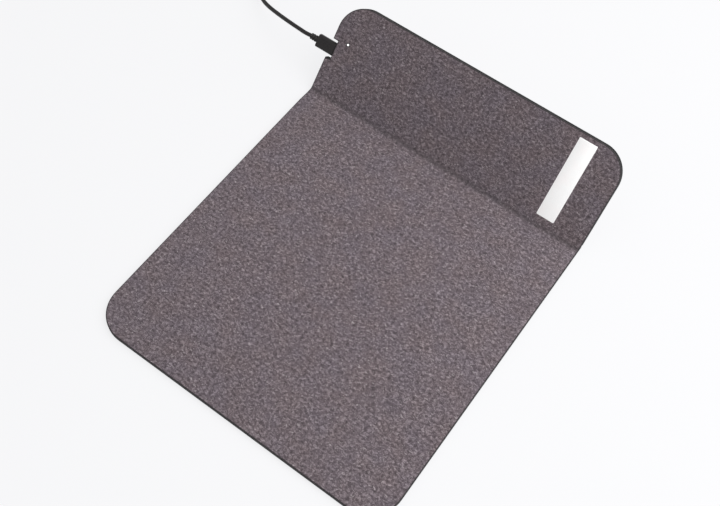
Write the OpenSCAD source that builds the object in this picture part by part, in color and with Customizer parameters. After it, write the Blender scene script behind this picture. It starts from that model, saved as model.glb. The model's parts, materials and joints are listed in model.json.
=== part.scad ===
// Desk mat with a charging panel that folds up into a phone stand.
// X runs along the mat's width, Y from the user to the back of the desk, Z up.
// The origin lies on the desk, under the middle of the footprint with the panel up.

/* [Mat] */
// Width of the mat and of the charging panel
mat_w = 240; // [230:1:250]
// Front edge of the mat to the fold line
mat_d = 247; // [230:1:260]
// Thickness of the mat
mat_t = 4; // [3.6:0.1:5]
// Thickness of the cloth on the mat and on the panel
cloth_t = 0.8; // [0.6:0.1:1]
// Thickness of the non-slip rubber under the mat
base_t = 0.8; // [0.5:0.1:1]
// Radius of the mat's two front corners
corner_r = 25; // [20:1:27]
// Cloth left on the desk under the crease of the fold
crease_t = 3.2; // [2.8:0.1:3.4]

/* [Charging panel] */
// Distance from the fold line to the panel's free edge
panel_d = 75.5; // [75:0.5:80]
// Radius of the two corners at the panel's free edge
panel_corner_r = 22; // [18:1:25]
// Thickness of the panel, with its cloth
panel_t = 6.5; // [6.5:0.1:7]
// Tilt of the panel from the desk when it is propped up
panel_tilt = 48.5; // [46:0.5:50]
// Thickness of the moulded walls
wall = 0.8; // [0.8:0.1:1]
// Thickness of the rim of the front tray
rim = 1.6; // [1.4:0.1:2]
// Distance from the fold line to the lowest moulded edge
panel_low = 4; // [4:0.1:4.5]

/* [Charger] */
// Distance from the fold line to the middle of the transmitter coil
coil_v = 38.5; // [36:0.5:39.5]
// Outer radius of the transmitter coil
coil_out_r = 24; // [22:0.5:24]
// Inner radius of the transmitter coil
coil_in_r = 10.8; // [9:0.1:12]
// Number of turns in the transmitter coil
coil_turns = 12; // [10:1:12]
// Side of the square ferrite sheet
ferrite_w = 52; // [50:1:54]

/* [Plug and cable] */
// Middle of the socket, from the fold line
socket_v = 34.8; // [34:0.1:35.5]
// Height of the notch in the left edge
notch_w = 15.4; // [14:0.1:16]
// Depth of the notch in the left edge
notch_depth = 4.5; // [4:0.1:5]
// Diameter of the cable
cable_d = 3.2; // [3:0.1:3.4]
// Radius of the wound cable at the middle of its turns
wound_r = 18; // [17:0.5:19]

/* [Stand leg] */
// Front edge of the mat to the back of the leg's foot, with the panel up
stand_depth = 328; // [326:0.5:330]
// Width of the leg
leg_w = 110; // [90:1:112]
// Thickness of the leg with its cloth
leg_t = 2.1; // [2:0.1:2.1]
// Radius of the hinge pins
pin_r = 0.5; // [0.4:0.05:0.5]

/* [Hidden] */
$fn = 96;
e = 0.5;                                     // extra reach of a cut past the face it opens
gap = 0.05;                                  // small play between parts that don't bear
fold_y = mat_d - stand_depth / 2;            // the fold line's place in Y
crease_in = (mat_t - crease_t) / tan(panel_tilt);
crease = [fold_y - crease_in, crease_t];     // bottom of the crease, where the panel's front starts
crease_flat = 3.4;                           // the mat is pressed thin this far in front of the crease
inner_crease = [crease[0] + cloth_t * tan(panel_tilt / 2), crease_t - cloth_t];
fold_end = panel_low - gap;                  // the folding strip ends here, from the fold line
band_front = fold_y - 16;                    // the thick mat ends here
tray_n = cloth_t + wall;                     // inner face of the front tray, from the panel's front
cover_n = panel_t - wall;                    // inner face of the rear cover
socket_n = 3.28;                             // middle of the socket, from the panel's front
pin_v = panel_d - 6;                         // the leg's pins, from the fold line
pin_n = panel_t - leg_t / 2 - gap;           // the leg's pins, from the panel's front
recess_n = panel_t - leg_t - 0.1;            // floor of the leg's recess
recess_top = pin_v + 2.8;                    // upper wall of the leg's recess
pocket_n = pin_n - 2.8;                      // floor of the pocket for the leg's heel
side_play = 0.4;                             // play beside the leg
pin_at = along_panel(pin_v, pin_n);
foot_r = leg_t / 2;
foot_at = [stand_depth / 2 - foot_r, foot_r];
leg_len = norm(pin_at - foot_at);
leg_slope = atan2(pin_at[1] - foot_at[1], foot_at[0] - pin_at[0]);
leg_open = 180 - panel_tilt - leg_slope;     // angle between the open leg and the panel
recess_low = pin_v - leg_len - foot_r - 0.6;
scoop_r = 5.7;                               // round ends of the finger scoop below the leg
scoop_v = panel_low + rim + 0.1 + wall + scoop_r;
scoop_x = 8;
keeper_v = pin_v - leg_len + 9;
keeper_x = 40;
coil_pitch = (coil_out_r - coil_in_r) / coil_turns;
board_n = cover_n - 0.85;                    // front face of the circuit board
board_x = [-112, -66];
board_v = [15, 61];
board_posts = [board_v[0] + 5, board_v[0] + 41];
led_at = [-106.6, 43.9];
screw_at = [[112, 9], [100, 69], [62, 44]];
label_t = 0.25;                              // the label is pressed into the cloth by its thickness
mouth_x = -mat_w / 2 + notch_depth;          // the notch's inner wall, where the socket opens
overmold_len = 16.2;
relief_len = 6.5;
overmold_x = mouth_x - 0.3;
relief_x = overmold_x - overmold_len;
tail_x = relief_x - relief_len;
socket_at = along_panel(socket_v, socket_n);
wound_cols = 3;                              // turns in the wound cable, side by side and stacked
wound_pitch = cable_d + 0.1;
wound_half = wound_cols * wound_pitch / 2;
tie_t = 0.6;
wound_at = [-240, 168];
wound_low = tie_t + wound_pitch / 2;
far_plug_at = [-262, 150, 4];
cable_start = [for (x = [tail_x, tail_x - 1.5]) [x, socket_at[0], socket_at[1]]];
cable_route = concat(cable_start, [
    [-145, 107.8, 26.5], [-150, 109, 25.1], [-159, 111, 22.8], [-168, 113.2, 20.4],
    [-177, 115.7, 17.8], [-186, 118.5, 15.1], [-194, 121.6, 12.4], [-201, 125.3, 9.8],
    [-207.5, 130.2, 7], [-213, 136.4, 4.6], [-217, 143.5, 3], [-218.5, 151, 2.3],
    [-218.7, 159, 2.2]]);
tail_route = [[-261.3, 163, 5.5], [-261.6, 158, 5.3], [-262, 154.5, 4.6], far_plug_at + [0, 1.5, 0],
    far_plug_at];

// A point on the panel, v up from the fold and n in from the front face, as [y, z]
function along_panel(v, n) =
    [crease[0] + v * cos(panel_tilt) + n * sin(panel_tilt),
     crease[1] + v * sin(panel_tilt) - n * cos(panel_tilt)];

function unit(v) = v / norm(v);
function way(route, i) = unit(route[min(i + 1, len(route) - 1)] - route[max(i - 1, 0)]);
function ring(centre, along, r, sides) =
    let (across = unit(cross(along, [0, 0, 1])), up = cross(across, along))
    [for (k = [0 : sides - 1])
        centre + r * cos(360 * k / sides) * across + r * sin(360 * k / sides) * up];

// A round tube swept along a route, with one ring of points at each of the route's points
module tube(route, r, sides = 8) {
    last = len(route) - 1;
    points = [for (i = [0 : last]) each ring(route[i], way(route, i), r, sides)];
    sides_faces = [for (i = [0 : last - 1], k = [0 : sides - 1])
        let (a = i * sides + k, b = i * sides + (k + 1) % sides)
        [a, b, b + sides, a + sides]];
    start_face = [for (k = [0 : sides - 1]) sides - 1 - k];
    end_face = [for (k = [0 : sides - 1]) last * sides + k];
    polyhedron(points, concat(sides_faces, [start_face, end_face]), convexity = 4);
}

// Puts its children in the panel's frame: X across, Y up the panel, Z out of its front face
module on_panel() {
    translate([0, crease[0], crease[1]]) rotate([panel_tilt, 0, 0]) children();
}

// Puts its children in the leg's frame: the leg runs along -Y from its hinge pins
module on_leg() {
    on_panel() translate([0, pin_v, -pin_n]) rotate([leg_open, 0, 0]) children();
}

// A box between two corners of the panel's frame, with n measured in from the front face
module panel_box(x, v, n) {
    translate([x[0], v[0], -n[1]]) cube([x[1] - x[0], v[1] - v[0], n[1] - n[0]]);
}

// A cylinder through the panel's thickness
module panel_rod(x, v, n, r) {
    translate([x, v, -n[1]]) cylinder(r = r, h = n[1] - n[0]);
}

// Layers of the panel between two depths, cut to an outline
module panel_layer(n) {
    translate([0, 0, -n[1]]) linear_extrude(n[1] - n[0]) children();
}

// The mat's outline with two round corners in front
module mat_outline(inset = 0) {
    r = corner_r - inset;
    half = mat_w / 2 - inset;
    front = fold_y - mat_d + inset;
    translate([-half, front + r]) square([2 * half, band_front - front - r]);
    translate([r - half, front]) square([2 * (half - r), 2 * r]);
    for (s = [-1, 1]) translate([s * (half - r), front + r]) circle(r);
}

// The panel's outline with two round corners at its free edge and the notch for the plug
module panel_outline(inset = 0) {
    r = panel_corner_r - inset;
    half = mat_w / 2 - inset;
    top = panel_d - inset;
    difference() {
        union() {
            translate([-half, panel_low + inset]) square([2 * half, top - r - panel_low - inset]);
            translate([r - half, top - 2 * r]) square([2 * (half - r), 2 * r]);
            for (s = [-1, 1]) translate([s * (half - r), top - r]) circle(r);
        }
        translate([-mat_w / 2 - e, socket_v - notch_w / 2 - inset])
            square([e + notch_depth + inset, notch_w + 2 * inset]);
    }
}

// A rectangle with round corners around the origin
module round_rect(w, h, r) {
    square([w - 2 * r, h], center = true);
    square([w, h - 2 * r], center = true);
    for (x = [-1, 1], y = [-1, 1]) translate([x * (w / 2 - r), y * (h / 2 - r)]) circle(r, $fn = 32);
}

// A bar along -X with a rounded section, at the socket's height on the panel
module plug_bar(x, w, h, r, length) {
    translate([x, socket_v, -socket_n]) rotate([0, -90, 0]) linear_extrude(length) round_rect(h, w, r);
}

// ---- Mat ----

module mat_fabric() {
    color([0.43, 0.39, 0.41]) translate([0, 0, mat_t - cloth_t]) linear_extrude(cloth_t) mat_outline();
}

module mat_core() {
    color([0.2, 0.19, 0.2]) translate([0, 0, base_t]) linear_extrude(mat_t - cloth_t - base_t) mat_outline();
}

module mat_base() {
    color([0.12, 0.12, 0.13]) linear_extrude(base_t) mat_outline();
}

// The crease, seen from the side: the mat thins to the pressed fold, and the panel rises from it
function crease_line(drop) = [
    for (i = [0 : 8])
        [band_front + i * (crease[0] - crease_flat - band_front) / 8,
         crease_t - drop + (mat_t - crease_t) * (1 + cos(22.5 * i)) / 2]];

module strip(profile) {
    translate([-mat_w / 2, 0, 0]) rotate([90, 0, 90]) linear_extrude(mat_w) polygon(profile);
}

module fold_fabric() {
    color([0.36, 0.33, 0.35]) strip(concat(
        crease_line(0), [crease, along_panel(fold_end, 0), along_panel(fold_end, cloth_t), inner_crease],
        [for (i = [8 : -1 : 0]) crease_line(cloth_t)[i]]));
}

module fold_core() {
    low_corner = along_panel(fold_end, panel_t);
    color([0.18, 0.17, 0.18]) strip(concat(
        crease_line(cloth_t), [inner_crease, along_panel(fold_end, cloth_t), low_corner],
        [[low_corner[0] - 1.4, 0], [band_front, 0]]));
}

// ---- Charging panel ----

module label_outline() {
    translate([87.5, 39.8]) round_rect(14.4, 63.6, 0.5);
}

module panel_fabric() {
    color([0.38, 0.35, 0.36]) on_panel() difference() {
        panel_layer([0, cloth_t]) panel_outline();
        panel_layer([-e, label_t]) label_outline();
        panel_rod(led_at[0], led_at[1], [-e, cloth_t + e], 0.8);
    }
}

module front_tray() {
    color([0.15, 0.15, 0.16]) on_panel() difference() {
        union() {
            panel_layer([cloth_t, tray_n]) panel_outline();
            difference() {
                panel_layer([tray_n, cover_n]) panel_outline();
                panel_layer([tray_n - e, cover_n + e]) panel_outline(inset = rim);
            }
            for (p = screw_at, s = [-1, 1]) panel_rod(s * p[0], p[1], [tray_n, cover_n], 2.2);
            for (v = board_posts) panel_rod(board_x[1] - 4, v, [tray_n, cover_n - gap], 1);
            for (v = board_posts) panel_rod(board_x[1] - 4, v, [tray_n, board_n], 2);
        }
        for (p = screw_at, s = [-1, 1]) panel_rod(s * p[0], p[1], [tray_n + 0.4, cover_n + e], 0.75);
        panel_rod(led_at[0], led_at[1], [-e, tray_n + e], 0.8);
        panel_box([mouth_x - e, mouth_x + rim + e], [socket_v - 4.6, socket_v + 4.6], [tray_n, board_n]);
    }
}

module leg_recess(grow, n) {
    half = leg_w / 2 + side_play;
    side = grow > 0 ? 2.4 : 0;
    panel_box([-half - side, half + side], [recess_low - grow, recess_top + grow], n);
}

// A finger scoop at the low end of the leg's recess
module finger_scoop(grow, n) {
    for (s = [-1, 1]) panel_rod(s * scoop_x, scoop_v, n, scoop_r + grow);
    panel_box([-scoop_x, scoop_x], [scoop_v - scoop_r - grow, scoop_v + scoop_r], n);
}

module rear_cover() {
    color([0.13, 0.13, 0.14]) on_panel() difference() {
        union() {
            panel_layer([cover_n, panel_t]) panel_outline();
            leg_recess(wall, [recess_n - wall, cover_n]);
            finger_scoop(wall, [recess_n - wall, cover_n]);
            panel_box([-leg_w / 2 - side_play - wall, leg_w / 2 + side_play + wall],
                [pin_v - 1.3, recess_top + wall], [pocket_n - wall, recess_n]);
        }
        leg_recess(0, [recess_n, panel_t + e]);
        finger_scoop(0, [recess_n, panel_t + e]);
        panel_box([-leg_w / 2 - side_play, leg_w / 2 + side_play],
            [pin_v - 0.5, recess_top], [pocket_n, recess_n + e]);
        for (s = [-1, 1]) translate([s * (leg_w / 2 + side_play + 1), pin_v, -pin_n])
            rotate([0, 90, 0]) cylinder(r = pin_r + 0.06, h = 2.6, center = true, $fn = 48);
        for (p = screw_at, s = [-1, 1]) {
            panel_rod(s * p[0], p[1], [cover_n - e, panel_t + e], 0.85);
            translate([s * p[0], p[1], -panel_t - 0.01]) cylinder(r1 = 1.7, r2 = 0.9, h = 0.65, $fn = 48);
        }
    }
}

module cover_screws() {
    color([0.6, 0.6, 0.62]) on_panel() for (p = screw_at, s = [-1, 1]) translate([s * p[0], p[1], 0])
        difference() {
            union() {
                translate([0, 0, 0.05 - panel_t]) cylinder(r1 = 1.6, r2 = 0.8, h = 0.6, $fn = 48);
                panel_rod(0, 0, [tray_n + 0.9, panel_t - 0.3], 0.72);
            }
            for (a = [0, 90]) rotate(a) translate([0, 0, 0.2 - panel_t]) cube([1.8, 0.36, 0.4], center = true);
        }
}

module foam_filler() {
    color([0.3, 0.3, 0.31]) on_panel() difference() {
        panel_layer([tray_n + gap, cover_n - gap]) intersection() {
            panel_outline(inset = rim + 0.4);
            translate([66, 0]) square([60, 100]);
        }
        for (p = screw_at) panel_rod(p[0], p[1], [tray_n - e, cover_n + e], 2.6);
    }
}

module label() {
    color([0.95, 0.95, 0.95]) on_panel() panel_layer([0, label_t]) label_outline();
}

// ---- Charger electronics ----

module transmitter_coil() {
    color([0.72, 0.4, 0.2]) on_panel() translate([0, coil_v, -tray_n - 1.05]) rotate_extrude() {
        for (i = [0 : coil_turns - 1]) translate([coil_in_r + (i + 0.5) * coil_pitch, 0.5])
            circle(d = 0.98, $fn = 24);
        translate([coil_in_r, 0.2]) square([coil_out_r - coil_in_r, 0.6]);
    }
}

module ferrite_sheet() {
    color([0.25, 0.25, 0.27]) on_panel() panel_layer([tray_n + 1.1, tray_n + 1.8])
        translate([0, coil_v]) round_rect(ferrite_w, ferrite_w, 3);
}

module coil_leads() {
    color([0.72, 0.4, 0.2]) on_panel() for (v = [coil_v - 1.8, coil_v + 0.6]) {
        panel_box([board_x[1] - 2.2, -coil_out_r - 0.08], [v, v + 1.2], [tray_n + 0.3, tray_n + 0.9]);
        panel_box([board_x[1] - 2.2, board_x[1] - 1], [v, v + 1.2], [tray_n + 0.3, board_n]);
    }
}

module thermistor() {
    color([0.1, 0.1, 0.1]) on_panel() {
        panel_rod(0, coil_v, [tray_n + 0.05, tray_n + 1], 0.9);
        panel_box([-8, -0.6], [coil_v - 0.5, coil_v + 0.5], [tray_n + 0.3, tray_n + 0.6]);
    }
}

module main_board() {
    color([0.08, 0.3, 0.16]) on_panel() difference() {
        panel_box(board_x, board_v, [board_n, board_n + 0.8]);
        for (v = board_posts) panel_rod(board_x[1] - 4, v, [board_n - e, panel_t], 1.05);
    }
}

// Parts of the board stand on its front face, from its low right corner, with their height h to the front
module on_board(x, v, w, d, h) {
    low = [board_x[1] + x, board_v[0] + v];
    panel_box([low[0], low[0] + w], [low[1], low[1] + d], [board_n - h, board_n]);
}

module controller_chip() {
    color([0.06, 0.06, 0.07]) on_panel() on_board(-26, 16, 7, 7, 0.9);
}

module power_transistors() {
    color([0.07, 0.07, 0.08]) on_panel() for (i = [0, 1], j = [0, 1])
        on_board(-16.5 + 6 * i, 14 + 7 * j, 4.9, 5.9, 1.1);
}

module resonant_capacitors() {
    color([0.62, 0.56, 0.42]) on_panel() for (i = [0 : 3]) on_board(-23 + 4.6 * i, 33.5, 3.4, 5.7, 2.5);
}

module filter_inductor() {
    color([0.2, 0.2, 0.21]) on_panel() on_board(-38, 34.5, 7.2, 6.6, 2.9);
}

module socket_shell() {
    color([0.75, 0.75, 0.77]) on_panel() difference() {
        plug_bar(mouth_x + 7.35, 8.94, 3.14, 1.5, 7.35);
        plug_bar(mouth_x + 7.05, 8.46, 2.68, 1.3, 7.35 + e);
    }
}

module socket_tongue() {
    color([0.1, 0.1, 0.11]) on_panel() panel_box([mouth_x + 1, mouth_x + 7.05],
        [socket_v - 3.3, socket_v + 3.3], [socket_n - 0.35, socket_n + 0.35]);
}

module status_led() {
    color([0.95, 0.95, 0.9]) on_panel() panel_box([led_at[0] - 0.8, led_at[0] + 0.8],
        [led_at[1] - 0.5, led_at[1] + 0.5], [board_n - 0.65, board_n]);
}

module light_guide() {
    color([0.93, 0.95, 0.95]) on_panel() panel_rod(led_at[0], led_at[1], [0, board_n - 0.7], 0.75);
}

module keeper_discs() {
    color([0.6, 0.6, 0.62]) on_panel() for (s = [-1, 1])
        panel_rod(s * keeper_x, keeper_v, [recess_n - wall - 0.55, recess_n - wall - gap], 3);
}

// ---- Stand leg ----

module leg_barrel(r, length) {
    rotate([0, 90, 0]) cylinder(r = r, h = length, center = true, $fn = 48);
}

module leg_plate() {
    color([0.16, 0.16, 0.17]) on_leg() difference() {
        union() {
            leg_barrel(foot_r, leg_w);
            translate([-leg_w / 2, -leg_len + 0.4, 0.6 - foot_r]) cube([leg_w, leg_len - 0.4, leg_t - 0.6]);
            rotate([-leg_open, 0, 0]) translate([-leg_w / 2 + 4, -0.45, 0]) cube([leg_w - 8, 0.9, 2.6]);
        }
        for (s = [-1, 1]) translate([s * leg_w / 2, 0, 0]) leg_barrel(pin_r + 0.01, 16);
        for (s = [-1, 1]) translate([s * keeper_x, keeper_v - pin_v, -0.4]) cylinder(r = 3.02, h = leg_t);
    }
}

module leg_fabric() {
    color([0.36, 0.33, 0.35]) on_leg() translate([-leg_w / 2, -leg_len + 0.4, -foot_r])
        cube([leg_w, leg_len - 0.4 - foot_r - 0.2, 0.6]);
}

module leg_foot() {
    color([0.09, 0.09, 0.09]) on_leg() difference() {
        translate([0, -leg_len, 0]) leg_barrel(foot_r, leg_w);
        translate([-leg_w, -leg_len + 0.4, -leg_t]) cube([2 * leg_w, leg_t, 2 * leg_t]);
    }
}

module leg_pins() {
    color([0.75, 0.75, 0.77]) on_leg() for (s = [-1, 1])
        translate([s * (leg_w / 2 - 2.9), 0, 0]) leg_barrel(pin_r, 9.8);
}

module leg_magnets() {
    color([0.8, 0.8, 0.82]) on_leg() for (s = [-1, 1])
        translate([s * keeper_x, keeper_v - pin_v, -0.4]) cylinder(r = 3, h = foot_r + 0.35);
}

// ---- Plug in the panel's socket ----

module plug_overmold() {
    color([0.1, 0.1, 0.11]) on_panel() plug_bar(overmold_x, 10.4, 5.4, 2, overmold_len);
}

module plug_shell() {
    color([0.78, 0.78, 0.8]) on_panel() difference() {
        plug_bar(overmold_x + 6.65, 8.34, 2.56, 1.2, 6.65);
        plug_bar(overmold_x + 6.65 + e, 7.7, 1.9, 0.9, 6.65 + e - 0.3);
    }
}

module strain_relief() {
    color([0.1, 0.1, 0.11]) on_panel() translate([relief_x, socket_v, -socket_n]) rotate([0, -90, 0])
        cylinder(r1 = 2.65, r2 = 2.5, h = relief_len, $fn = 48);
}

// ---- Cable ----

module cable_run() {
    color([0.09, 0.09, 0.1]) tube(cable_route, cable_d / 2);
}

module cable_coil() {
    color([0.09, 0.09, 0.1]) translate([wound_at[0], wound_at[1], wound_low]) rotate_extrude($fn = 64) {
        for (i = [0 : wound_cols - 1], j = [0 : wound_cols - 1])
            translate([wound_r + (i - 1) * wound_pitch, j * wound_pitch]) circle(wound_pitch / 2, $fn = 24);
        translate([wound_r - wound_pitch, 0]) square(2 * wound_pitch);
    }
}

module cable_tie() {
    w = 2 * wound_half + 0.8;
    h = 2 * wound_half + 2 * tie_t;
    color([0.14, 0.14, 0.15]) translate([wound_at[0] - 4.5, wound_at[1] - wound_r, h / 2])
        rotate([90, 0, 90]) linear_extrude(9) difference() {
            round_rect(w + 2 * tie_t, h, 2.2);
            round_rect(w, h - 2 * tie_t, 1.6);
        }
}

module cable_tail() {
    color([0.09, 0.09, 0.1]) tube(tail_route, cable_d / 2);
}

// Puts its children at the far plug, with Z along the cable towards the contacts
module at_far_plug(reach) {
    translate([far_plug_at[0], far_plug_at[1] - reach, far_plug_at[2]]) rotate([90, 0, 0]) children();
}

module far_plug_relief() {
    color([0.1, 0.1, 0.11]) at_far_plug(0) cylinder(r1 = 2.1, r2 = 2.8, h = 7, $fn = 48);
}

module far_plug_body() {
    color([0.1, 0.1, 0.11]) at_far_plug(7) linear_extrude(21) round_rect(15.6, 8, 2.4);
}

module far_plug_shell() {
    color([0.78, 0.78, 0.8]) at_far_plug(28) difference() {
        linear_extrude(12) round_rect(12, 4.5, 0.5);
        translate([0, 0, -e]) linear_extrude(12 + 2 * e) round_rect(11.4, 3.9, 0.2);
        for (s = [-1, 1]) translate([s * 2.95, 0, 6.2]) cube([2.4, 6, 2.4], center = true);
    }
}

module far_plug_tongue() {
    color([0.92, 0.92, 0.93]) at_far_plug(28) translate([-5.5, -1.8, 0]) cube([11, 1.8, 11.3]);
}

mat_fabric();
mat_core();
mat_base();
fold_fabric();
fold_core();
panel_fabric();
front_tray();
rear_cover();
cover_screws();
foam_filler();
label();
transmitter_coil();
ferrite_sheet();
coil_leads();
thermistor();
main_board();
controller_chip();
power_transistors();
resonant_capacitors();
filter_inductor();
socket_shell();
socket_tongue();
status_led();
light_guide();
keeper_discs();
leg_plate();
leg_fabric();
leg_foot();
leg_pins();
leg_magnets();
plug_overmold();
plug_shell();
strain_relief();
cable_run();
cable_coil();
cable_tie();
cable_tail();
far_plug_relief();
far_plug_body();
far_plug_shell();
far_plug_tongue();
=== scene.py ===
"""Looks of the folding wireless charging desk mat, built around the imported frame.

Row frame: X along the width, Y to the back of the desk, Z up, origin on the desk. Lengths in this
file are in millimetres, and become metres where a mesh, a light or the camera is made.
"""

import json
import math

import bmesh
import bpy
import numpy as np
from mathutils import Matrix, Vector, noise


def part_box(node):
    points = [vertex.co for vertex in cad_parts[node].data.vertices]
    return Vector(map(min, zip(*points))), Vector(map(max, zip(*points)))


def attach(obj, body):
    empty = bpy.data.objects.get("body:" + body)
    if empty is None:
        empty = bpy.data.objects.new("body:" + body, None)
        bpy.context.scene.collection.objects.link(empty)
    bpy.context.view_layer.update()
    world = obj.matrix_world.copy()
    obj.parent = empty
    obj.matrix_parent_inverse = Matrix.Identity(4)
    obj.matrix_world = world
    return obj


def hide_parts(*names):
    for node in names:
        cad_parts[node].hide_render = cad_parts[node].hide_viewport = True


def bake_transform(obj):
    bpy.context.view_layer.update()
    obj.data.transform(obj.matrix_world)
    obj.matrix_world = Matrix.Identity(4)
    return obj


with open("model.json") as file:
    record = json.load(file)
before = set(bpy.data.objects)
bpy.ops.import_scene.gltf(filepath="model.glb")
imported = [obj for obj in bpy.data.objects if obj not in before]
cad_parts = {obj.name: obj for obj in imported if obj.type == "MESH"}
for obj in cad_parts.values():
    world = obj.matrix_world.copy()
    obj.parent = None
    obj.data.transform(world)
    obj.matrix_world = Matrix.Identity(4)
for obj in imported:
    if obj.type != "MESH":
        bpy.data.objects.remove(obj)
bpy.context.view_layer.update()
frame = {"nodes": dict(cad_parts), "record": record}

MM = 0.001


def node_box(node):
    """A CAD node's lowest and highest corners, in millimetres."""
    return [np.array(corner, float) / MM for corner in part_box(node)]


# ---------------------------------------------------------------- driving dimensions

MAT_LOW, MAT_HIGH = node_box("mat_fabric")
HALF_W = MAT_HIGH[0]
FRONT_Y = MAT_LOW[1]  # the mat's front edge
BAND_Y = MAT_HIGH[1]  # the thick mat ends here and thins to the crease
MAT_TOP = MAT_HIGH[2]
CLOTH_T = MAT_HIGH[2] - MAT_LOW[2]
BASE_T = node_box("mat_base")[1][2]
FRONT_R = 25.0  # the mat's front corners
PANEL_R = 22.0  # the panel's corners
PANEL_D = 75.5
PANEL_T = 6.5
PANEL_LOW = 4.0  # the panel's moulded parts start this far up from the fold
PHONE_V = 38.5  # the phone_face mount, up the panel from the fold
NOTCH_V = (27.1, 42.5)
NOTCH_DEPTH = 4.5
LIGHT_AT = (-106.6, 43.9)  # the status light, across and up the panel
LABEL_V = (8.0, 71.6)  # the label's ends, up the panel
LABEL_X = (80.3, 94.7)  # and its sides, across it
MOUNTS = {m["name"]: m for m in frame["record"]["mounts"]}
PHONE_FACE = np.array(MOUNTS["phone_face"]["pos_m"], float) / MM
PHONE_NORMAL = np.array(MOUNTS["phone_face"]["axis"], float)
TILT = math.atan2(-PHONE_NORMAL[1], PHONE_NORMAL[2])
CREASE_Y = PHONE_FACE[1] - PHONE_V * math.cos(TILT)
CREASE_Z = PHONE_FACE[2] - PHONE_V * math.sin(TILT)
SOCKET = np.array(MOUNTS["usb_socket"]["pos_m"], float) / MM


def on_panel(x, v, n):
    """A point of the panel: x across, v up from the fold, n in from the front face."""
    return (
        x,
        CREASE_Y + v * math.cos(TILT) + n * math.sin(TILT),
        CREASE_Z + v * math.sin(TILT) - n * math.cos(TILT),
    )


# ---------------------------------------------------------------- camera

CAMERA_AT = (176.7, -301.5, 626.2)
CAMERA_TARGET = (-4.78, -11.51, 0.0)
CAMERA_ROLL = 4.42
CAMERA_LENS = 50.1


def make_camera():
    data = bpy.data.cameras.new("camera")
    data.lens, data.sensor_width = CAMERA_LENS, 36.0
    data.clip_start, data.clip_end = 0.01, 20.0
    cam = bpy.data.objects.new("camera", data)
    bpy.context.scene.collection.objects.link(cam)
    at, target = Vector(CAMERA_AT) * MM, Vector(CAMERA_TARGET) * MM
    look = (target - at).to_track_quat("-Z", "Y").to_matrix().to_4x4()
    cam.matrix_world = Matrix.Translation(at) @ look @ Matrix.Rotation(math.radians(CAMERA_ROLL), 4, "Z")
    bpy.context.scene.camera = cam


make_camera()


# ---------------------------------------------------------------- meshes


def mesh_piece(name, points, faces, smooth=True, flat=None):
    """A new object from points in millimetres. flat is each point's place on the unrolled cloth."""
    mesh = bpy.data.meshes.new(name)
    mesh.from_pydata([tuple(np.asarray(p, float) * MM) for p in points], [], faces)
    mesh.validate()
    if flat is not None:
        attribute = mesh.attributes.new("cloth", "FLOAT_VECTOR", "POINT")
        attribute.data.foreach_set("vector", np.asarray(flat, np.float32).ravel())
    mesh.update()
    if smooth:
        mesh.polygons.foreach_set("use_smooth", [True] * len(mesh.polygons))
    obj = bpy.data.objects.new(name, mesh)
    bpy.context.scene.collection.objects.link(obj)
    return obj


def sharpen(obj, degrees=35):
    """Marks edges over that angle as sharp, so that smooth shading stops at them."""
    obj.data.set_sharp_from_angle(angle=math.radians(degrees))
    return obj


def loop_faces(a, b, closed=True):
    """Quads between two rings of the same number of points."""
    n = len(a)
    last = n if closed else n - 1
    return [(a[i], a[(i + 1) % n], b[(i + 1) % n], b[i]) for i in range(last)]


def smooth_line(points, step):
    """A Catmull-Rom curve through the points, in pieces about step long."""
    p = [np.asarray(q, float) for q in points]
    p = [2 * p[0] - p[1]] + p + [2 * p[-1] - p[-2]]
    out = []
    for i in range(1, len(p) - 2):
        n = max(1, round(np.linalg.norm(p[i + 1] - p[i]) / step))
        for t in np.arange(n) / n:
            a = -p[i - 1] + 3 * p[i] - 3 * p[i + 1] + p[i + 2]
            b = 2 * p[i - 1] - 5 * p[i] + 4 * p[i + 1] - p[i + 2]
            out.append(0.5 * (a * t**3 + b * t**2 + (p[i + 1] - p[i - 1]) * t + 2 * p[i]))
    return out + [p[-2]]


def tube(name, line, radius, sides=14):
    """A closed tube along a line, its rings carried along it without twist."""
    line = np.array(line)
    ways = np.gradient(line, axis=0)
    ways /= np.linalg.norm(ways, axis=1)[:, None]
    side = np.cross(ways[0], (0, 0, 1.0))
    points, rings = [], []
    for centre, way in zip(line, ways):
        side = side - way * (side @ way)
        side /= np.linalg.norm(side)
        up = np.cross(side, way)
        rings.append(range(len(points), len(points) + sides))
        for k in range(sides):
            a = 2 * math.pi * k / sides
            points.append(centre + radius * (math.cos(a) * side + math.sin(a) * up))
    faces = [f for a, b in zip(rings, rings[1:]) for f in loop_faces(a, b)]
    faces += [tuple(reversed(rings[0])), tuple(rings[-1])]
    return mesh_piece(name, points, faces)


# ---------------------------------------------------------------- cable

CABLE_D = 3.2
RELIEF_END = (node_box("strain_relief")[0][0], SOCKET[1], SOCKET[2])
# The stretch that isn't coiled, from the plug's relief down to the desk.
RUN = [
    (-145, 107.8, 26.5), (-150, 109, 25.1), (-159, 111, 22.8), (-168, 113.2, 20.4),
    (-177, 115.7, 17.8), (-186, 118.5, 15.1), (-194, 121.6, 12.4), (-201, 125.3, 9.8),
    (-207.5, 130.2, 7), (-213, 136.4, 4.6), (-217, 143.5, 3), (-218.5, 151, 2.3),
    (-218.7, 159, 2.2),
]
TAIL = [(-261.3, 163, 5.5), (-261.6, 158, 5.3), (-262, 154.5, 4.6), (-262, 150, 4)]
WOUND_AT = (-240.0, 168.0)
WOUND_R = 18.0
WOUND_PITCH = 3.3
WOUND_LOW = 2.25
# The places of the turns in the bundle, as (column out, row up), in the order they are wound.
WOUND_PLACES = [(1, 0), (0, 0), (-1, 0), (-1, 1), (-1, 2), (0, 2), (0, 1), (1, 1)]
WOUND_TURNS = 7.5
TIE_ANGLE = 270.0


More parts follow.
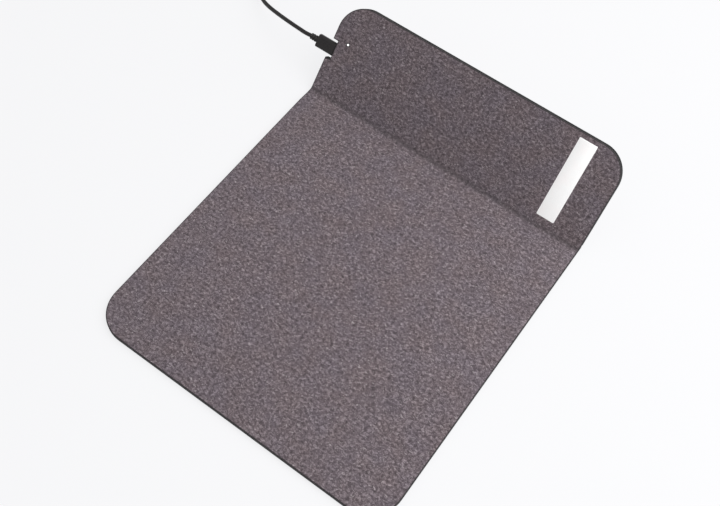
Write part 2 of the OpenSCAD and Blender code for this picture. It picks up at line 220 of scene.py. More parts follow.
def step_up(t):
    t = min(1.0, max(0.0, t))
    return t * t * (3 - 2 * t)


def wound_point(degrees):
    """The cable's middle in the coil, after turning that far: each turn ends by moving to the next place."""
    column, row = WOUND_PLACES[0]
    for k in range(len(WOUND_PLACES) - 1):
        moved = step_up((degrees - 360 * k - (300 - 20 * k)) / 45)
        column += moved * (WOUND_PLACES[k + 1][0] - WOUND_PLACES[k][0])
        row += moved * (WOUND_PLACES[k + 1][1] - WOUND_PLACES[k][1])
    off_tie = abs((degrees - TIE_ANGLE + 180) % 360 - 180)
    sag = 0.55 * step_up((off_tie - 15) / 60) * step_up(degrees / 60)
    radius = WOUND_R + WOUND_PITCH * column
    a = math.radians(degrees)
    return (
        WOUND_AT[0] + radius * math.cos(a),
        WOUND_AT[1] + radius * math.sin(a),
        WOUND_LOW + WOUND_PITCH * row - sag,
    )


def cable():
    inside = [(RELIEF_END[0] + 5, RELIEF_END[1], RELIEF_END[2]), RELIEF_END]
    coil = [wound_point(a) for a in np.arange(0, 360 * WOUND_TURNS + 1, 12)]
    end = [(TAIL[-1][0], TAIL[-1][1] - 4, TAIL[-1][2])]
    line = smooth_line(inside + RUN + coil + TAIL + end, 2.2)
    obj = tube("cable", line, CABLE_D / 2)
    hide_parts("cable_run", "cable_coil", "cable_tail")
    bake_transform(obj)
    return obj, [tuple(p * MM) for p in line]


cable_obj, cable_path = cable()

# ---------------------------------------------------------------- cloth, foam and rubber


def side_line():
    """The cloth's top from the side: (y, z) points from the front edge over the crease to the free edge."""
    dip_end, fold_r = CREASE_Y - 3.4, 3.0
    half = fold_r * math.tan(TILT / 2)
    out = [(y, MAT_TOP) for y in np.linspace(FRONT_Y, BAND_Y, 240)]
    for t in np.linspace(0, 1, 40)[1:]:
        drop = (MAT_TOP - CREASE_Z) * (1 - math.cos(math.pi * t)) / 2
        out.append((BAND_Y + t * (dip_end - BAND_Y), MAT_TOP - drop))
    for a in np.linspace(0, TILT, 16):
        y = CREASE_Y - half + fold_r * math.sin(a)
        out.append((y, CREASE_Z + fold_r * (1 - math.cos(a))))
    for v in np.linspace(half, PANEL_D, 90)[1:]:
        out.append(on_panel(0, v, 0)[1:])
    return np.array(out)


SIDE = side_line()
SIDE_S = np.concatenate([[0], np.cumsum(np.linalg.norm(np.diff(SIDE, axis=0), axis=1))])
END_S = SIDE_S[-1]
BAND_S = BAND_Y - FRONT_Y
SIDE_WAY = np.gradient(SIDE, axis=0)
SIDE_WAY /= np.linalg.norm(SIDE_WAY, axis=1)[:, None]


def s_of(v):
    """The distance along the cloth of a place on the panel."""
    return END_S - (PANEL_D - v)


def on_cloth(x, s, h):
    """The point h above the cloth's top, at x across and s along it from the front edge."""
    y, z = (np.interp(s, SIDE_S, SIDE[:, k]) for k in (0, 1))
    wy, wz = (np.interp(s, SIDE_S, SIDE_WAY[:, k]) for k in (0, 1))
    return np.stack([x, y - h * wz, z + h * wy], axis=-1)


def round_end(depth, r):
    """How far a round corner draws the edge in, at a depth from the end."""
    d = np.clip(depth, 0, r)
    return r - np.sqrt(np.maximum(0, r * r - (r - d) ** 2))


def edge_x(s, inset, side, first, last):
    """Half the width at s, on the left (-1) or right (1), drawn in by inset all round."""
    x = HALF_W - inset + 0 * s
    if first:
        x = x - round_end(s - inset, FRONT_R - inset)
    if last:
        x = x - round_end(END_S - inset - s, PANEL_R - inset)
        if side < 0:
            low, high = (s_of(v) for v in NOTCH_V)
            step = 0.5
            inside = np.minimum((s - low + inset) / step + 0.5, (high + inset - s) / step + 0.5)
            inside = np.clip(inside, 0, 1)
            x = x - NOTCH_DEPTH * inside * inside * (3 - 2 * inside)
    return side * x


def spaced_rows(start, stop, first, last, inset):
    """Rows along the cloth, close together at round corners, the crease and the notch's edges."""
    quarter = 1 - np.cos(np.linspace(0, math.pi / 2, 16))
    rows = [np.array([start, stop])]
    if first:
        rows.append(start + (FRONT_R - inset) * quarter)
    if last:
        rows.append(stop - (PANEL_R - inset) * quarter)
        for v in NOTCH_V:
            out = inset if v == NOTCH_V[1] else -inset
            rows.append(s_of(v) + out + np.linspace(-0.25, 0.25, 7))
    rows.append(np.arange(start + 4, stop - 3, 3.5))
    fold = np.arange(BAND_S - 2, s_of(5), 0.8)
    rows.append(fold[(fold > start + 0.3) & (fold < stop - 0.3)])
    rows = np.unique(np.round(np.concatenate(rows), 3))
    rows = rows[(rows >= start) & (rows <= stop)]
    keep = [rows[0]]
    for s in rows[1:]:
        if s - keep[-1] > 0.06:
            keep.append(s)
    keep[-1] = stop
    return np.array(keep)


def ripple(x, s, amount):
    """Slight unevenness of soft layers; sheet_slab fades it out towards the cloth's outline."""
    return np.array([
        amount * (noise.noise(Vector((a / 34, b / 27, 1.7)))
                  + 0.5 * noise.noise(Vector((a / 13, b / 15, 4.1))))
        for a, b in zip(x.ravel(), s.ravel())
    ]).reshape(x.shape)


def sheet_slab(name, place, start, stop, levels, first=True, last=True, columns=70, amount=0.0):
    """A closed slab with the cloth's outline between two rows. levels are (how far out, how high) of
    the rings round its edge, from the top's border to the bottom's; place(x, s, h) puts a point."""
    inset = max(out for out, _ in levels)
    begin, end = start + (inset if first else 0), stop - (inset if last else 0)
    rows = spaced_rows(begin, end, first, last, inset)
    left = edge_x(rows, inset, -1, first, last)
    right = edge_x(rows, inset, 1, first, last)
    t = np.linspace(0, 1, columns + 1)
    x = left[:, None] + (right - left)[:, None] * t
    s = rows[:, None] + 0 * x
    n_rows, n_cols = x.shape
    border = [(0, j) for j in range(n_cols)] + [(i, n_cols - 1) for i in range(1, n_rows)]
    border += [(n_rows - 1, j) for j in range(n_cols - 2, -1, -1)]
    border += [(i, 0) for i in range(n_rows - 2, 0, -1)]
    b = np.array([(x[i, j], s[i, j]) for i, j in border])
    way = np.roll(b, -1, axis=0) - np.roll(b, 1, axis=0)
    outward = np.stack([way[:, 1], -way[:, 0]], axis=1)
    outward /= np.linalg.norm(outward, axis=1)[:, None]
    top_h, bottom_h = levels[0][1], levels[-1][1]
    near = np.minimum.reduce([x - left[:, None], right[:, None] - x, s - begin, end - s])
    slack = 1 - 0.8 * np.clip((s - BAND_S) / 10, 0, 1)  # the panel's cloth is bonded flat
    lift = ripple(x, s, amount) * slack * np.clip(near / 12, 0, 1) if amount else 0 * x
    flat = [np.stack([x, s, top_h + lift], axis=-1).reshape(-1, 3)]
    grid = np.arange(n_rows * n_cols).reshape(n_rows, n_cols)
    faces = [(grid[i, j], grid[i, j + 1], grid[i + 1, j + 1], grid[i + 1, j])
             for i in range(n_rows - 1) for j in range(n_cols - 1)]
    ring = [grid[i, j] for i, j in border]
    count = n_rows * n_cols
    for out, h in levels[1:-1]:
        p = b + outward * out
        flat.append(np.column_stack([p, np.full(len(p), h)]))
        new = list(range(count, count + len(p)))
        faces += loop_faces(new, ring)
        ring, count = new, count + len(p)
    under = grid + count
    flat.append(np.stack([x, s, 0 * x + bottom_h], axis=-1).reshape(-1, 3))
    faces += [(under[i, j], under[i + 1, j], under[i + 1, j + 1], under[i, j + 1])
              for i in range(n_rows - 1) for j in range(n_cols - 1)]
    faces += loop_faces([under[i, j] for i, j in border], ring)
    flat = np.concatenate(flat)
    points = place(flat[:, 0], flat[:, 1], flat[:, 2])
    flat[:n_rows * n_cols, 2] = top_h
    return mesh_piece(name, points, [tuple(int(k) for k in f) for f in faces], flat=flat)


def round_edge(reach, drop, low, steps=6):
    """Levels of an edge that is rounded at the top, over reach out and drop down, and cut straight below."""
    turn = np.linspace(0, math.pi / 2, steps + 1)
    levels = [(reach * math.sin(a), drop * (math.cos(a) - 1)) for a in turn]
    return levels + [(reach, low), (0, low)]


def top_cloth():
    """One sheet of cloth over the mat, down into the crease and up over the panel."""
    obj = sheet_slab("top_cloth", on_cloth, 0, END_S, round_edge(1.1, 0.7, -CLOTH_T), amount=0.07)
    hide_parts("mat_fabric", "fold_fabric", "panel_fabric")
    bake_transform(obj)
    return obj


CORE_END_S = s_of(PANEL_LOW)


def between_layers(x, s, h):
    """From the cloth's underside at h 1 down to the rubber base at h 0, through the thin crease."""
    top = on_cloth(x, s, -CLOTH_T + 0 * s)
    past = np.clip((s - BAND_S) / (CORE_END_S - BAND_S), 0, 1)
    heel = on_panel(0, PANEL_LOW, PANEL_T)
    low_y = top[:, 1] + (heel[1] - 1.0 - on_panel(0, PANEL_LOW, CLOTH_T)[1]) * past**2
    low_z = BASE_T + 0 * s
    low = np.stack([x, low_y, np.minimum(low_z, top[:, 2] - 0.2)], axis=-1)
    return low + (top - low) * h[:, None]


def mat_core():
    """The foam between cloth and base, which thins to the crease and reaches the panel's lowest edge."""
    levels = [(0, 1), (0.35, 1), (0.35, 0.62), (0.2, 0.5), (0.35, 0.38), (0.35, 0), (0, 0)]
    obj = sheet_slab("mat_foam", between_layers, 0, CORE_END_S, levels, last=False)
    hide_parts("mat_core", "fold_core")
    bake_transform(obj)
    return obj


def under_layers(x, s, h):
    """The rubber base: h is its height over the desk."""
    low = between_layers(x, s, 0 * s)
    low[:, 2] = h
    return low


def mat_base():
    levels = [(0, BASE_T), (0.5, BASE_T), (0.7, 0.55), (0.7, 0.25), (0.5, 0.0), (0, 0)]
    obj = sheet_slab("rubber_base", under_layers, 0, CORE_END_S, levels, last=False)
    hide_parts("mat_base")
    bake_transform(obj)
    return obj


core_obj = mat_core()
base_obj = mat_base()
cloth_obj = top_cloth()

# ---------------------------------------------------------------- moulded pieces

PLUG_X = node_box("plug_overmold")[1][0]  # the end of the plug's body at the panel
PLUG_W, PLUG_H = 10.4, 5.4
RELIEF_X = node_box("strain_relief")[1][0]
FAR_PLUG = np.array([(a + b) / 2 for a, b in zip(*node_box("far_plug_body"))])
FAR_BODY_Y = node_box("far_plug_body")[1][1]


def at_plug(along, w, h):
    """A point of the plug: along -X from the origin, w up the panel, h out of its face."""
    c, s = math.cos(TILT), math.sin(TILT)
    return np.stack([-along, SOCKET[1] + w * c - h * s, SOCKET[2] + w * s + h * c], axis=-1)


def at_far_plug(along, w, h):
    """A point of the far plug: along -Y from the origin, w across, h up."""
    return np.stack([FAR_PLUG[0] + w, -along, FAR_PLUG[2] + h], axis=-1)


def round_section(w, h, r, sides=48):
    """A rectangle's outline with round corners, as (w, h) points evenly spread by angle."""
    a = 2 * math.pi * (np.arange(sides) + 0.5) / sides
    r = min(r, w / 2 - 1e-6, h / 2 - 1e-6)
    corner = np.column_stack([np.sign(np.cos(a)) * (w / 2 - r), np.sign(np.sin(a)) * (h / 2 - r)])
    return corner + r * np.column_stack([np.cos(a), np.sin(a)])


def dense_section(w, h, r, sides=64):
    """The same outline with its points spread evenly along it, so that its flats can be shaped too."""
    fine = round_section(w, h, r, 720)
    fine = np.vstack([fine, fine[:1]])
    along = np.concatenate([[0], np.cumsum(np.linalg.norm(np.diff(fine, axis=0), axis=1))])
    want = along[-1] * np.arange(sides) / sides
    return np.column_stack([np.interp(want, along, fine[:, k]) for k in (0, 1)])


def loft(name, place, sections, smooth=True):
    """A closed solid through sections, each a distance along and its (w, h) outline."""
    points, rings, faces = [], [], []
    for along, outline in sections:
        rings.append(list(range(len(points), len(points) + len(outline))))
        points += list(place(np.full(len(outline), float(along)), outline[:, 0], outline[:, 1]))
    for a, b in zip(rings, rings[1:]):
        faces += loop_faces(a, b)
    faces += [tuple(reversed(rings[0])), tuple(rings[-1])]
    obj = mesh_piece(name, points, faces, smooth)
    fix_normals(obj)
    return obj


def fix_normals(obj):
    shape = bmesh.new()
    shape.from_mesh(obj.data)
    bmesh.ops.recalc_face_normals(shape, faces=shape.faces)
    shape.to_mesh(obj.data)
    shape.free()


def filleted(length, w, h, r, fillet, far_fillet=None, step=0.35, dent=None):
    """Sections of a bar with round ends. dent(along, outline) gives how far in each point is pressed."""
    far_fillet = fillet if far_fillet is None else far_fillet
    turn = np.linspace(0, math.pi / 2, 6)
    places = [(fillet * (1 - math.cos(a)), fillet * (1 - math.sin(a))) for a in turn]
    places += [(x, 0.0) for x in np.arange(fillet + step, length - far_fillet - step / 2, step)]
    places += [(length - far_fillet * (1 - math.cos(a)), far_fillet * (1 - math.sin(a))) for a in turn[::-1]]
    out = []
    for along, inset in places:
        outline = dense_section(w - 2 * inset, h - 2 * inset, max(0.3, r - inset))
        if dent is not None:
            outline = dent(along, outline)
        out.append((along, outline))
    return out


def ribbed_grip(start, stop, half_w, half_h, depth, pitch):
    """Presses a shallow grip with cross ribs into both flats of a plug's body."""
    def dent(along, outline):
        inside = np.clip((along - start) / 0.5, 0, 1) * np.clip((stop - along) / 0.5, 0, 1)
        across = np.clip((half_w - np.abs(outline[:, 0])) / 0.5, 0, 1)
        flat = np.abs(outline[:, 1]) > half_h - 0.25
        rib = 0.5 - 0.5 * math.cos(2 * math.pi * (along - start) / pitch)
        press = depth * inside * across * flat * (0.35 + 0.65 * rib)
        return outline - np.column_stack([0 * press, press * np.sign(outline[:, 1])])
    return dent


def turned(name, place, profile, sides=36):
    """A closed solid of round sections: profile is a list of (along, radius)."""
    a = 2 * math.pi * np.arange(sides) / sides
    circle = np.column_stack([np.cos(a), np.sin(a)])
    return loft(name, place, [(x, circle * r) for x, r in profile])


def ribbed_relief(length, r_start, r_end, rings, depth):
    """A tapered strain relief with rounded rings and grooves, as a profile for turned()."""
    out = [(0.0, r_start - 0.15), (0.12, r_start)]
    for t in np.linspace(0.03, 0.95, 56):
        r = r_start + (r_end - r_start) * t
        groove = (0.5 - 0.5 * math.cos(2 * math.pi * rings * t)) ** 3
        out.append((t * length, r - depth * groove))
    return out + [(length - 0.12, r_end), (length, r_end - 0.15)]


def plug_body():
    """The plug's moulded body, with a shallow ribbed grip in both flats."""
    length = PLUG_X - RELIEF_X
    grip = ribbed_grip(4.4, length - 2.6, 2.9, PLUG_H / 2, 0.28, 1.2)
    obj = loft("plug_body", lambda a, w, h: at_plug(a - PLUG_X, w, h),
               filleted(length, PLUG_W, PLUG_H, 2.0, 0.35, 0.45, 0.12, grip))
    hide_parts("plug_overmold")
    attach(obj, "usb_plug")
    return obj


def plug_relief():
    length = RELIEF_X - RELIEF_END[0]
    obj = turned("plug_relief", lambda a, w, h: at_plug(a - RELIEF_X, w, h),
                 ribbed_relief(length, 2.65, 2.5, 3, 0.5))
    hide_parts("strain_relief")
    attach(obj, "usb_plug")
    return obj


def far_plug():
    length = 21.0
    grip = ribbed_grip(6.0, 17.0, 5.2, 4.0, 0.4, 1.5)
    body = loft("far_plug_grip", lambda a, w, h: at_far_plug(a - FAR_BODY_Y, w, h),
                filleted(length, 15.6, 8.0, 2.4, 0.9, 0.35, 0.2, grip))
    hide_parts("far_plug_body")
    relief = turned("far_plug_sleeve", lambda a, w, h: at_far_plug(a - FAR_BODY_Y - 7.0, w, h),
                    [(a, r) for a, r in ribbed_relief(7.0, 2.1, 2.9, 3, 0.4)])
    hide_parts("far_plug_relief")
    for obj in (body, relief):
        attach(obj, "mat")
    return body, relief


def cable_tie():
    """A hook-and-loop strap once round the bundle, its end lying over its start."""
    low, high = node_box("cable_tie")
    mid_y, top = (low[1] + high[1]) / 2, high[2]
    half_y, half_z = (high[1] - low[1]) / 2, top / 2
    t = 0.55
    outline = dense_section(2 * half_y - t, 2 * half_z - t, 2.4, 96)
    start = int(np.argmin(np.abs(outline[:, 0] + 1.5) + (outline[:, 1] < 0) * 99))
    loop = np.roll(outline, -start, axis=0)
    loop = np.vstack([loop, loop[:10]])
    n = len(loop)
    way = np.gradient(loop, axis=0)
    way /= np.linalg.norm(way, axis=1)[:, None]
    out = np.column_stack([way[:, 1], -way[:, 0]])
    lift = np.concatenate([np.zeros(n - 14), np.linspace(0, t + 0.05, 5), np.full(9, t + 0.05)])
    loop = loop + out * lift[:, None]
    half_x = (high[0] - low[0]) / 2
    mid_x = (high[0] + low[0]) / 2
    columns = [(-1, 0.35), (-0.97, 1.0), (-0.5, 1.0), (0, 1.0), (0.5, 1.0), (0.97, 1.0), (1, 0.35)]
    points, rings = [], []
    for i in range(n):
        ring = []
        sides = [(u, w, 1) for u, w in columns] + [(u, w, -1) for u, w in reversed(columns)]
        for u, w, side in sides:
            offset = side * w * t / 2
            p = loop[i] + out[i] * offset
            ring.append(len(points))
            points.append((mid_x + u * half_x, mid_y + p[0], half_z + p[1]))
        rings.append(ring)
    faces = [f for a, b in zip(rings, rings[1:]) for f in loop_faces(a, b)]
    faces += [tuple(reversed(rings[0])), tuple(rings[-1])]
    obj = mesh_piece("tie_band", points, faces)
    fix_normals(obj)
    sharpen(obj, 50)
    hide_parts("cable_tie")
    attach(obj, "mat")
    return obj


def blank_label():
    """A thin white card with soft edges, pressed into the cloth and left blank."""
    (v0, v1), (x0, x1) = LABEL_V, LABEL_X
    mid_x, mid_v = (x0 + x1) / 2, (v0 + v1) / 2

    def place(h, u, w):
        return np.stack(on_panel(mid_x + u, mid_v + w, -h), axis=-1)

    base = dense_section(x1 - x0, v1 - v0, 0.5, 200)
    levels = [(-0.2, 0.1), (0.08, 0.0), (0.13, 0.03), (0.155, 0.1)]
    sections = [(h, base * (1 - 2 * np.array([inset / (x1 - x0), inset / (v1 - v0)]))) for h, inset in levels]
    obj = loft("blank_label", place, sections)
    sharpen(obj, 60)
    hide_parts("label")
    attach(obj, "panel")
    return obj


def status_lens():
    """The clear light guide: a stem through the cloth with a low dome on it."""
    x, v = LIGHT_AT
    r = 0.75

    def place(h, u, w):
        return np.stack(on_panel(x + u, v + w, -h), axis=-1)

    dome = [(0.02 + 0.16 * math.sin(a), r * math.cos(a)) for a in np.linspace(0, math.pi / 2 * 0.93, 8)]
    obj = turned("status_lens", place, [(-3.4, r - 0.05), (-3.35, r), *dome], 32)
    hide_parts("light_guide")
    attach(obj, "panel")
    return obj


JOINTS = {j["name"]: j for j in frame["record"]["behaviour"]["joints"]}
LEG_PIN = np.array(JOINTS["leg_hinge"]["pos_m"]) / MM
LEG_WEAVE_AT = 400  # the leg's cloth is a far-off part of the same weave
FOOT_R = 1.05
FOOT_Y = node_box("leg_foot")[1][1] - FOOT_R


def leg_cloth():
    """The cloth on the outside of the leg, with rounded cut edges."""
    run = np.array([0, FOOT_Y, FOOT_R]) - LEG_PIN
    length = np.linalg.norm(run)
    run /= length
    out = np.array([0, -run[2], run[1]])
    half = node_box("leg_fabric")[1][0]
    a0, a1 = FOOT_R + 0.25, length - 0.45

    def place(h, u, w):
        along = (a0 + a1) / 2 + w
        return (np.stack([u, 0 * u, 0 * u], axis=-1) + LEG_PIN + along[:, None] * run
                + (FOOT_R - 0.6 + h)[:, None] * out)

    w, d = 2 * half, a1 - a0
    base = dense_section(w, d, 1.2, 300)
    turn = np.linspace(0, math.pi / 2, 5)
    levels = [(0.0, 0.0), *[(0.25 + 0.35 * math.sin(a), 0.35 * (1 - math.cos(a))) for a in turn]]
    sections = [(h, base * (1 - 2 * np.array([inset / w, inset / d]))) for h, inset in levels]
    obj = loft("leg_cloth", place, sections)
    points = np.array([v.co[:] for v in obj.data.vertices]) / MM
    along = (points - LEG_PIN) @ run
    attribute = obj.data.attributes.new("cloth", "FLOAT_VECTOR", "POINT")
    unrolled = np.column_stack([points[:, 0], along + LEG_WEAVE_AT, 0 * along])
    attribute.data.foreach_set("vector", unrolled.astype(np.float32).ravel())
    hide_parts("leg_fabric")
    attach(obj, "leg")
    return obj


plug_obj, relief_obj = plug_body(), plug_relief()
far_body_obj, far_relief_obj = far_plug()
tie_obj, label_obj, lens_obj, leg_cloth_obj = cable_tie(), blank_label(), status_lens(), leg_cloth()

# ---------------------------------------------------------------- materials


class Look:
    """A material, its nodes added one at a time. Constants are set on the shader's own sockets."""

    def __init__(self, name, **constants):
        self.material = bpy.data.materials.new(name)
        self.material.use_nodes = True
        self.tree = self.material.node_tree
        self.shader = self.tree.nodes["Principled BSDF"]
        for socket, value in constants.items():
            self.shader.inputs[socket.replace("_", " ")].default_value = value

    def add(self, kind, sockets=None, **settings):
        node = self.tree.nodes.new("ShaderNode" + kind)
        for key, value in settings.items():
            setattr(node, key, value)
        for socket, value in (sockets or {}).items():
            if isinstance(value, bpy.types.NodeSocket):
                self.tree.links.new(value, node.inputs[socket])
            else:
                node.inputs[socket].default_value = value
        return node

    def object_mm(self):
        """Object coordinates in millimetres."""
        return self.add("VectorMath", {0: self.add("TexCoord").outputs["Object"], 1: (1000, 1000, 1000)},
                        operation="MULTIPLY").outputs[0]

    def stretched(self, vector, scale, turn=(0, 0, 0)):
        return self.add("Mapping", {"Vector": vector, "Scale": scale, "Rotation": turn}).outputs[0]

    def noise(self, vector, scale, detail=2.0, roughness=0.5, distortion=0.0):
        return self.add("TexNoise", {"Vector": vector, "Scale": scale, "Detail": detail,
                                     "Roughness": roughness,
                                     "Distortion": distortion}).outputs["Fac"]

    def ramp(self, value, *stops):
        node = self.add("ValToRGB", {"Fac": value})
        elements = node.color_ramp.elements
        while len(elements) < len(stops):
            elements.new(0.5)
        for element, (place, color) in zip(elements, stops):
            element.position = place
            element.color = (*color, 1) if len(color) == 3 else color
        return node.outputs["Color"]

    def remap(self, value, old, new, smooth=False):
        return self.add("MapRange", {"Value": value, "From Min": old[0], "From Max": old[1], "To Min": new[0],
                                     "To Max": new[1]},
                        interpolation_type="SMOOTHSTEP" if smooth else "LINEAR").outputs["Result"]

    def math(self, operation, a, b):
        return self.add("Math", {0: a, 1: b}, operation=operation).outputs[0]

    def mix(self, factor, a, b, blend="MIX"):
        return self.add("Mix", {0: factor, 6: a, 7: b}, data_type="RGBA", blend_type=blend).outputs[2]

    def color(self, value):
        self.tree.links.new(value, self.shader.inputs["Base Color"])

    def rough(self, value):
        self.tree.links.new(value, self.shader.inputs["Roughness"])

    def bump(self, height, depth_mm, strength=1.0):
        node = self.add("Bump", {"Height": height, "Distance": depth_mm * MM, "Strength": strength})
        self.tree.links.new(node.outputs[0], self.shader.inputs["Normal"])


def grey(level, tint=(1, 1, 1)):
    return tuple(level * t for t in tint)


def cloth_look():
    """Heathered charcoal knit: short worm-like stitches lying across the mat, finer fibres over them, with
    painted shade along the crease.
    """
    look = Look("heathered_cloth", Roughness=0.92, Specular_IOR_Level=0.3,
                Sheen_Weight=0.15, Sheen_Roughness=0.5)
    look.shader.inputs["Sheen Tint"].default_value = (0.9, 0.84, 0.88, 1)
    place = look.add("Attribute", attribute_name="cloth").outputs["Vector"]
    split = look.add("SeparateXYZ", {0: place}).outputs
    grain = look.noise(look.stretched(place, (0.47, 0.58, 0.5)), 1.0, 2.3, 0.58, 0.7)
    fibre = look.noise(look.stretched(place, (1.6, 3.4, 1.5), (0, 0, 0.2)), 1.0, 3.0, 0.65, 0.5)
    patch = look.noise(place, 0.045, 2.0)
    fleck = look.noise(look.stretched(place, (0.8, 1.3, 0.5), (0, 0, -0.15)), 0.7, 1.0, 0.5, 1.2)
    tone = look.add("Math", {0: grain, 1: 0.62, 2: look.math("MULTIPLY", fibre, 0.38)},
                    operation="MULTIPLY_ADD").outputs[0]
    base = look.ramp(tone, (0.37, (0.046, 0.036, 0.040)), (0.47, (0.085, 0.067, 0.075)),
                     (0.545, (0.129, 0.104, 0.115)), (0.655, (0.238, 0.200, 0.216)))
    tint = look.ramp(patch, (0.35, (1.02, 1.0, 0.975)), (0.65, (0.975, 0.995, 1.03)))
    base = look.mix(1.0, base, tint, "MULTIPLY")
    base = look.mix(look.remap(fleck, (0.62, 0.74), (0, 0.55)), base, (0.40, 0.36, 0.37, 1))
    # darkened towards the cut edge: partly the cut edge's own darker colour, partly painted shade on the
    # rounding of the edge
    edge = look.remap(split[2], (0.0, -0.10), (0, 0.94), True)
    base = look.mix(edge, base, (0.02, 0.018, 0.019, 1))
    # painted shade along the crease: the cloth is darkened a few millimetres either side of the fold line
    s = look.math("ABSOLUTE", look.math("SUBTRACT", split[1], float(s_of(0.4))), 0.0)
    crease_shade = look.remap(s, (0.0, 3.4), (0.45, 0.0), True)
    base = look.mix(crease_shade, base, (0.035, 0.03, 0.032, 1))
    near_light = look.add("VectorMath", {0: place, 1: (LIGHT_AT[0], float(s_of(LIGHT_AT[1])), 0)},
                          operation="DISTANCE").outputs["Value"]
    base = look.mix(look.remap(near_light, (1.1, 2.4), (0.75, 0.0), True), base, (0.03, 0.028, 0.028, 1))
    look.color(base)
    nap = look.math("ADD", look.math("MULTIPLY", grain, 0.7), look.math("MULTIPLY", fibre, 0.45))
    look.bump(nap, 0.35, 0.7)
    return look.material


def foam_look():
    look = Look("foam_rubber", Roughness=0.85)
    place = look.object_mm()
    cells = look.noise(place, 2.2, 3.0, 0.6)
    look.color(look.ramp(cells, (0.35, grey(0.010)), (0.65, grey(0.026, (1, 0.97, 0.98)))))
    look.bump(cells, 0.12, 0.8)
    return look.material


def base_look():
    """Natural rubber with a fine raised net on its underside, so that it grips."""
    look = Look("net_rubber", Roughness=0.7)
    place = look.object_mm()
    split = look.add("SeparateXYZ", {0: place}).outputs
    waves = [look.math("SINE", look.math("MULTIPLY", look.math(op, split[0], split[1]), 2.6), 0.0)
             for op in ("ADD", "SUBTRACT")]
    net = look.math("MAXIMUM", *waves)
    wear = look.noise(place, 0.08, 3.0)
    look.color(look.ramp(wear, (0.35, grey(0.010)), (0.7, grey(0.020))))
    look.rough(look.remap(wear, (0.3, 0.7), (0.58, 0.78)))
    look.bump(net, 0.18, 0.8)
    return look.material


def plastic_look(name, level, rough, grain_mm=0.05, tint=(1, 1, 1.03), gloss=0.3):
    """Moulded plastic with a fine spark-eroded grain."""
    look = Look(name, Specular_IOR_Level=gloss)
    place = look.object_mm()
    fine = look.noise(place, 4.5, 3.0, 0.6)
    broad = look.noise(place, 0.05, 3.0)
    tone = look.math("ADD", look.math("MULTIPLY", fine, 0.4), look.math("MULTIPLY", broad, 0.6))
    look.color(look.ramp(tone, (0.35, grey(level * 0.85, tint)), (0.65, grey(level * 1.2, tint))))
    look.rough(look.remap(broad, (0.3, 0.7), (rough - 0.05, rough + 0.07)))
    look.bump(fine, grain_mm, 0.5)
    return look.material


def steel_look(name, level, rough, tint=(1, 1, 1)):
    """Plain or plated metal with faint drawing lines."""
    look = Look(name, Metallic=1.0)
    place = look.object_mm()
    lines = look.noise(look.stretched(place, (0.4, 6, 6)), 1.0, 3.0, 0.6)
    look.color(look.ramp(lines, (0.3, grey(level * 0.88, tint)), (0.7, grey(level * 1.08, tint))))
    look.rough(look.remap(lines, (0.3, 0.7), (rough - 0.06, rough + 0.08)))
    look.bump(lines, 0.004, 0.5)
    return look.material


def card_look():
    """Coated white card, with a hardly visible mottle and a little pinkish dirt in faint clouds over it."""
    look = Look("white_card", Roughness=0.42)
    place = look.object_mm()
    fibre = look.noise(place, 1.8, 4.0, 0.6)
    cloud = look.noise(place, 0.11, 2.0)
    base = look.ramp(fibre, (0.3, (0.84, 0.845, 0.84)), (0.7, (0.89, 0.89, 0.885)))
    base = look.mix(look.remap(cloud, (0.45, 0.7), (0, 0.35)), base, (0.87, 0.82, 0.81, 1))
    look.color(base)
    look.bump(fibre, 0.008, 0.6)
    return look.material


def lens_look(name, glow):
    look = Look(name, Roughness=0.2, IOR=1.5, Emission_Strength=glow)
    haze = look.noise(look.object_mm(), 1.5, 2.0)
    look.color(look.ramp(haze, (0.3, (0.86, 0.9, 0.9)), (0.7, (0.97, 0.98, 0.97))))
    look.shader.inputs["Emission Color"].default_value = (0.95, 0.98, 1, 1)
    return look.material


def copper_look():
    """Enamelled wire, its colour and gloss uneven along it."""
    look = Look("copper_wire", Metallic=0.9)
    place = look.object_mm()
    turns = look.noise(place, 0.9, 3.0)
    look.color(look.ramp(turns, (0.3, (0.42, 0.16, 0.06)), (0.7, (0.75, 0.36, 0.16))))
    look.rough(look.remap(turns, (0.3, 0.7), (0.25, 0.4)))
    return look.material


def board_look():
    """Green solder mask over tracks, which show as slightly lighter cells."""
    look = Look("solder_mask", IOR=1.5)
    place = look.object_mm()
    voronoi = look.add("TexVoronoi", {"Vector": place, "Scale": 0.35}, distance="CHEBYCHEV")
    tracks = voronoi.outputs["Distance"]
    look.color(look.ramp(tracks, (0.30, (0.008, 0.055, 0.026)), (0.36, (0.014, 0.11, 0.05))))
    look.rough(look.remap(tracks, (0, 1), (0.3, 0.4)))
    look.bump(tracks, 0.02, 0.5)
    return look.material


def strap_look():
    """Black hook-and-loop strap: woven rows with a soft nap."""
    look = Look("hook_strap", Roughness=0.9, Sheen_Weight=0.3)
    place = look.object_mm()
    rows = look.add("TexWave", {"Vector": place, "Scale": 0.55, "Distortion": 1.5, "Detail": 2.0},
                    bands_direction="X").outputs["Fac"]
    nap = look.noise(place, 3.0, 3.0, 0.65)
    tone = look.math("MULTIPLY", rows, nap)
    look.color(look.ramp(tone, (0.1, grey(0.010)), (0.6, grey(0.035))))
    look.bump(tone, 0.25, 0.8)
    return look.material


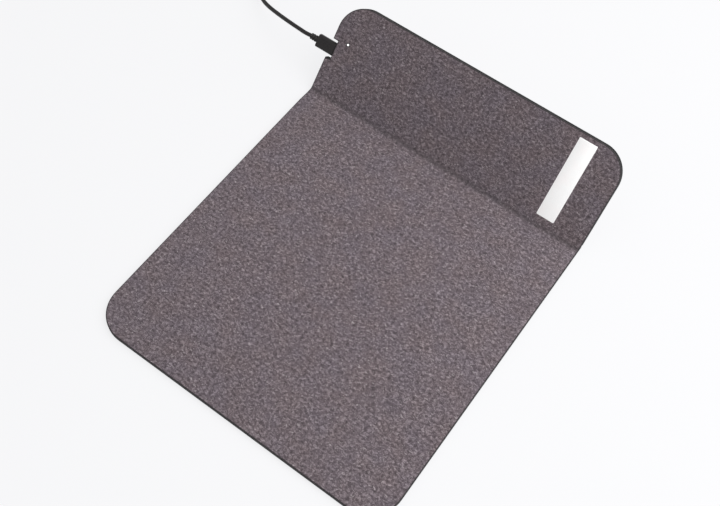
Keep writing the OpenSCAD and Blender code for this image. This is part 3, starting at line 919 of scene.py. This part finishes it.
cloth, foam, base_rubber = cloth_look(), foam_look(), base_look()
shell = plastic_look("shell_plastic", 0.018, 0.5)
jacket = plastic_look("cable_jacket", 0.019, 0.42, 0.02, (1.06, 0.98, 0.98), 0.2)
LOOKS = {
    "mat_cloth": cloth,
    "fold_cloth": cloth,
    "foam": foam,
    "base_rubber": base_rubber,
    "shell_plastic": shell,
    "label_card": card_look(),
    "copper": copper_look(),
    "ferrite": plastic_look("ferrite", 0.04, 0.6, 0.1),
    "board": board_look(),
    "chip": plastic_look("chip_resin", 0.012, 0.45, 0.03),
    "capacitor": plastic_look("capacitor_resin", 0.32, 0.4, 0.02, (1, 0.88, 0.62)),
    "steel": steel_look("plain_steel", 0.45, 0.32),
    "magnet": steel_look("nickel", 0.72, 0.16, (1, 0.98, 0.94)),
    "lens": lens_look("clear_lens", 1.1),
    "led": lens_look("led_resin", 2.5),
    "foot_rubber": plastic_look("foot_rubber", 0.010, 0.75, 0.12),
    "cable_jacket": jacket,
    "tie_strap": strap_look(),
    "insulator": plastic_look("plug_insulator", 0.8, 0.4, 0.01),
    "tray_rim": plastic_look("matt_rim", 0.010, 0.7, 0.08, (1, 0.97, 0.95), 0.08),
}


def dress(obj, slot):
    """Puts a slot's material on every face."""
    obj.data.materials.clear()
    obj.data.materials.append(LOOKS[slot])


for part in frame["record"]["subparts"]:
    dress(frame["nodes"][part["node"]], part["material_slot"])
dress(frame["nodes"]["front_tray"], "tray_rim")
for obj, slot in ((cloth_obj, "mat_cloth"), (core_obj, "foam"), (base_obj, "base_rubber"),
                  (cable_obj, "cable_jacket"),
                  (plug_obj, "cable_jacket"), (relief_obj, "cable_jacket"), (far_body_obj, "cable_jacket"),
                  (far_relief_obj, "cable_jacket"), (tie_obj, "tie_strap"), (label_obj, "label_card"),
                  (lens_obj, "lens"), (leg_cloth_obj, "mat_cloth")):
    dress(obj, slot)

# ---------------------------------------------------------------- room and light


KEY_AT = (0.62, 0.3, 0.82)  # metres, like the size below
KEY_SIZE = 1.25
KEY_WATTS = 17.0


def make_room():
    size = 12.0
    floor = mesh_piece("floor", [(-size / MM, -size / MM, 0), (size / MM, -size / MM, 0),
                                 (size / MM, size / MM, 0), (-size / MM, size / MM, 0)], [(0, 1, 2, 3)])
    material = bpy.data.materials.new("floor")
    material.use_nodes = True
    shader = material.node_tree.nodes["Principled BSDF"]
    shader.inputs["Base Color"].default_value = (0.12, 0.12, 0.122, 1)
    shader.inputs["Roughness"].default_value = 0.6
    shader.inputs["Specular IOR Level"].default_value = 0.0
    shader.inputs["Emission Color"].default_value = (0.985, 0.987, 1, 1)
    shader.inputs["Emission Strength"].default_value = 0.795
    floor.data.materials.append(material)
    world = bpy.data.worlds.new("world")
    bpy.context.scene.world = world
    world.use_nodes = True
    background = world.node_tree.nodes["Background"]
    background.inputs["Color"].default_value = (1.0, 0.99, 1.0, 1)
    background.inputs["Strength"].default_value = 0.62
    light = bpy.data.lights.new("key", "AREA")
    light.energy, light.size = KEY_WATTS, KEY_SIZE
    obj = bpy.data.objects.new("key", light)
    bpy.context.scene.collection.objects.link(obj)
    aim = (-Vector(KEY_AT)).to_track_quat("-Z", "Y").to_matrix().to_4x4()
    obj.matrix_world = Matrix.Translation(KEY_AT) @ aim


make_room()
bpy.context.scene.view_settings.view_transform = "Standard"
